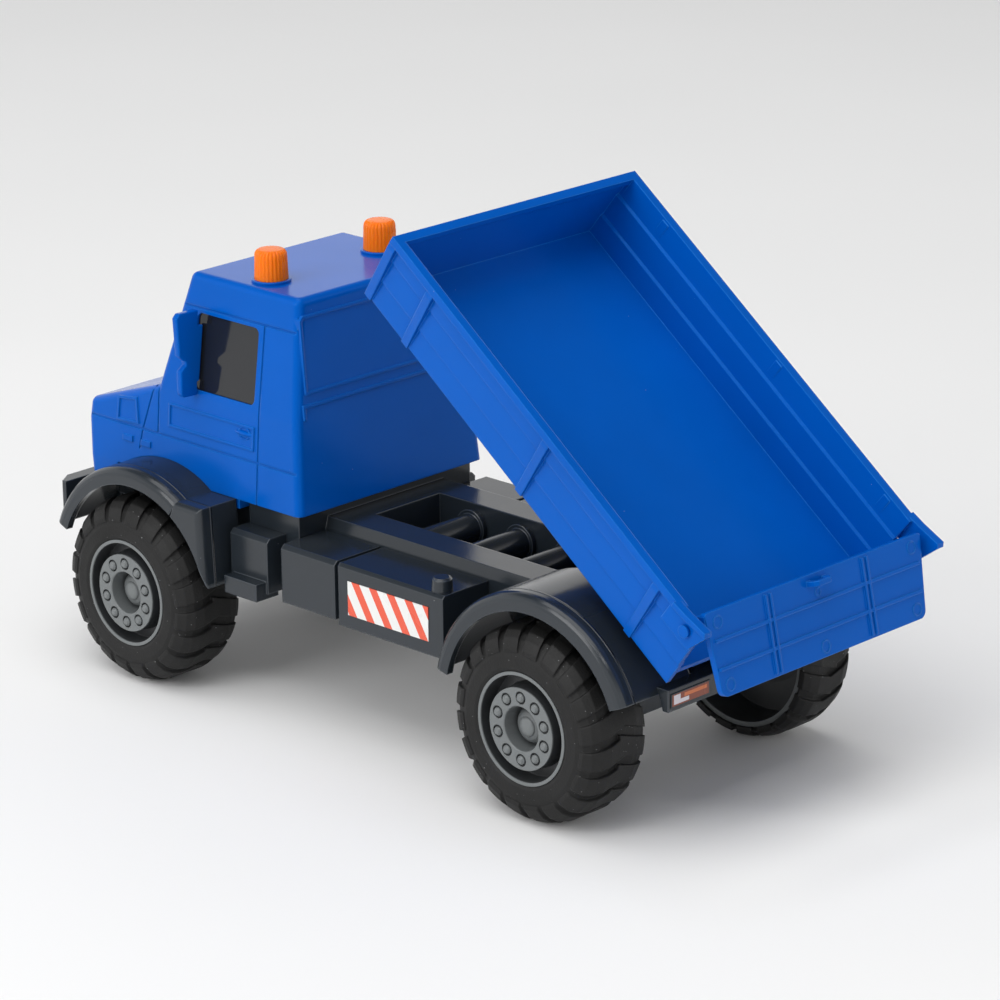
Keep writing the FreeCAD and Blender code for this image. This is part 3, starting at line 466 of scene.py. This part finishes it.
def stack(form, rings):
    """Join rings of equal length in order, and cap both ends."""
    for low, high in zip(rings, rings[1:]):
        join_loops(form, low, high)
    form.faces.new(rings[0][::-1])
    form.faces.new(rings[-1])


def fluted_cap(node):
    """A beacon cap whose wall and shoulder are fluted all round."""
    flutes, steps = 26, 8
    low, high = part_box(node)
    centre = (low + high) / 2
    radius, height = (high.x - low.x) / 2, high.z - low.z

    def ring(form, up, wide, depth):
        """The fluted outline at one level."""
        verts = []
        for turn in turns(flutes * steps):
            dip = depth * (1 - abs(math.cos(turn * flutes / 2)))
            reach = radius * (wide - dip)
            verts.append(form.verts.new((centre.x + reach * math.cos(turn),
                                         centre.y + reach * math.sin(turn), low.z + height * up)))
        return verts

    def build(form):
        stack(form, [ring(form, *level) for level in BEACON_LEVELS])

    cap = new_piece(node + "_fluted", build, FINISHES["orange_plastic"], "chassis")
    smooth(cap, 50.0)
    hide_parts(node)


def wheel_cap(node):
    """A small round cap that closes the middle of a wheel over the end of its axle."""
    low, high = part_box(node)
    side = 1.0 if low.y + high.y > 0 else -1.0
    outer = max(abs(low.y), abs(high.y))
    x, z = (low.x + high.x) / 2, (low.z + high.z) / 2

    def ring(form, radius, along):
        """The circle at one level."""
        return [form.verts.new((x + radius * MM * math.cos(turn), side * (outer + along * MM),
                                z + radius * MM * math.sin(turn))) for turn in turns(32)]

    def build(form):
        stack(form, [ring(form, *level) for level in WHEEL_CAP_LEVELS])

    body = node.split("_")[1] + "_wheels"
    cap = new_piece(node.replace("hub", "cap"), build, FINISHES["hub_plastic"], body)
    smooth(cap, 50.0)


def grab_bar(form, start, end, place, half, stand):
    """A bar that thickens quickly from both ends; place(x, out, up) gives each point."""
    steps, end_size, swell_power, deepest = 12, 0.3, 0.35, -0.6
    rings = []
    for i in range(steps + 1):
        along = i / steps
        size = math.sin(math.pi * along) ** swell_power if 0 < i < steps else end_size
        x = start + (end - start) * along
        rings.append([form.verts.new(place(x, stand * size * max(math.sin(turn), deepest),
                                           half * size * math.cos(turn))) for turn in turns(16)])
    stack(form, rings)


def oval_rim(form, middle, wide, tall, place, thick):
    """A raised oval rim around a point of the door."""
    loops = []
    for turn in turns(36):
        loop = []
        for bulge in turns(10):
            reach = 1.0 + thick * math.cos(bulge) / tall
            loop.append(form.verts.new(place(middle + wide * reach * math.cos(turn),
                                             thick * math.sin(bulge),
                                             tall * reach * math.sin(turn))))
        loops.append(loop)
    for i, loop in enumerate(loops):
        join_loops(form, loop, loops[(i + 1) % len(loops)])


def door_handle(side):
    """A slim grab bar on a door over an oval rim, placed from the door's window."""
    length, half_height, stand_off = 9.4 * MM, 0.95 * MM, 1.3 * MM
    rim_wide, rim_tall, rim_thick = 2.9 * MM, 2.2 * MM, 0.4 * MM
    behind, below, outside = 0.2 * MM, 10.6 * MM, 1.75 * MM
    door_lean = 0.076
    end = "left" if side > 0 else "right"
    low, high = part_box("window_" + end)
    back, level = low.x - behind, low.z - below
    face = max(abs(low.y), abs(high.y)) + outside

    def place(x, out, up):
        """A point of the leaning door, given its height above the handle's middle."""
        return (x, side * (face + out - door_lean * up), level + up)

    def build(form):
        grab_bar(form, back, back + length, place, half_height, stand_off)
        oval_rim(form, back + length / 2, rim_wide, rim_tall, place, rim_thick)

    handle = new_piece("door_handle_" + end, build, FINISHES["blue_plastic"], "chassis")
    smooth(handle, 60.0)


def softened(node, width):
    """A copy of a node with its sharp edges rounded, standing for the node."""
    weld, flat, sharp_turn = 0.001 * MM, math.radians(2.0), math.radians(20.0)
    source = frame["nodes"][node].data

    def build(form):
        form.from_mesh(source)
        bmesh.ops.remove_doubles(form, verts=form.verts, dist=weld)
        bmesh.ops.dissolve_limit(form, angle_limit=flat, verts=form.verts, edges=form.edges)
        sharp = [e for e in form.edges if len(e.link_faces) == 2 and e.calc_face_angle() > sharp_turn]
        bmesh.ops.bevel(form, geom=sharp, offset=width, segments=4, profile=0.5, affect="EDGES",
                        clamp_overlap=True)

    piece = new_piece(node + "_soft", build, FINISHES["blue_plastic"], "chassis")
    smooth(piece, 40.0)
    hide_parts(node)


# ---------------------------------------------------------------- stage

STAGE_MIDDLE = (0.0, 0.0, 0.08)
CAMERA_PLACE = (-1.03964, 1.05070, 0.57620)
CAMERA_GAZE = (0.66263226, -0.67815747, -0.3178379)
CAMERA_ROLL = -0.68
CAMERA_LENS = 154.98
# The surround's height above the horizon, and its strength, where its fade begins and ends.
SURROUND_FADE = (("From Min", 0.42), ("From Max", 0.68), ("To Min", 1.0), ("To Max", 0.10))


def floor():
    """A wide pale floor."""
    form = bmesh.new()
    bmesh.ops.create_grid(form, x_segments=1, y_segments=1, size=6.0)
    thing = mesh_object("floor", form)
    finish = Finish("floor_pale")
    tone = finish.wander(finish.noise(3.0), 0.86, 0.88)
    finish.set(Base_Color=finish.grey(tone), Roughness=0.75)
    paint(thing, finish.material)


def softbox(name, place, size, power):
    """A rectangular area light aimed at the middle of the stage."""
    light = bpy.data.lights.new(name, "AREA")
    light.shape = "RECTANGLE"
    light.size, light.size_y = size
    light.energy = power
    thing = bpy.data.objects.new(name, light)
    thing.location = place
    thing.rotation_mode = "QUATERNION"
    thing.rotation_quaternion = (Vector(STAGE_MIDDLE) - Vector(place)).to_track_quat("-Z", "Y")
    bpy.context.scene.collection.objects.link(thing)


def surround():
    """A white world that is bright near the horizon and dim overhead."""
    world = bpy.data.worlds.new("studio")
    world.use_nodes = True
    tree = world.node_tree
    background = tree.nodes["Background"]
    background.inputs["Color"].default_value = WHITE
    height = tree.nodes.new("ShaderNodeSeparateXYZ")
    fade = tree.nodes.new("ShaderNodeMapRange")
    for key, value in SURROUND_FADE:
        fade.inputs[key].default_value = value
    tree.links.new(tree.nodes.new("ShaderNodeTexCoord").outputs["Generated"], height.inputs["Vector"])
    tree.links.new(height.outputs["Z"], fade.inputs["Value"])
    tree.links.new(fade.outputs["Result"], background.inputs["Strength"])
    bpy.context.scene.world = world


def lights():
    """Plain soft studio light: a pale surround, a large top light, a side light and a thin strip."""
    surround()
    softbox("top_light", (0.05, 0.4, 2.6), (2.6, 2.6), 46.0)
    softbox("side_light", (0.35, 1.7, 0.95), (1.0, 1.0), 11.0)
    softbox("strip_light", (-0.5, 1.1, 1.5), (1.8, 0.16), 5.0)


def camera():
    """The viewpoint: behind the truck's left rear corner, from a little above, with a long lens."""
    lens = bpy.data.cameras.new("camera")
    lens.sensor_width = 36.0
    lens.lens = CAMERA_LENS
    lens.clip_start = 0.05
    lens.clip_end = 30.0
    thing = bpy.data.objects.new("camera", lens)
    thing.location = CAMERA_PLACE
    thing.rotation_mode = "QUATERNION"
    level = Vector(CAMERA_GAZE).to_track_quat("-Z", "Y")
    thing.rotation_quaternion = level @ Quaternion((0.0, 0.0, 1.0), math.radians(CAMERA_ROLL))
    bpy.context.scene.collection.objects.link(thing)
    bpy.context.scene.camera = thing


dress_frame()
for beacon in ("beacon_left", "beacon_right"):
    fluted_cap(beacon)
for mirror in ("mirror_left", "mirror_right"):
    softened(mirror, 0.9 * MM)
for side in (1, -1):
    door_handle(side)
for wheel in ("front_left", "front_right", "rear_left", "rear_right"):
    wheel_cap("hub_" + wheel)
floor()
lights()
camera()
bpy.context.scene.view_settings.view_transform = "Standard"
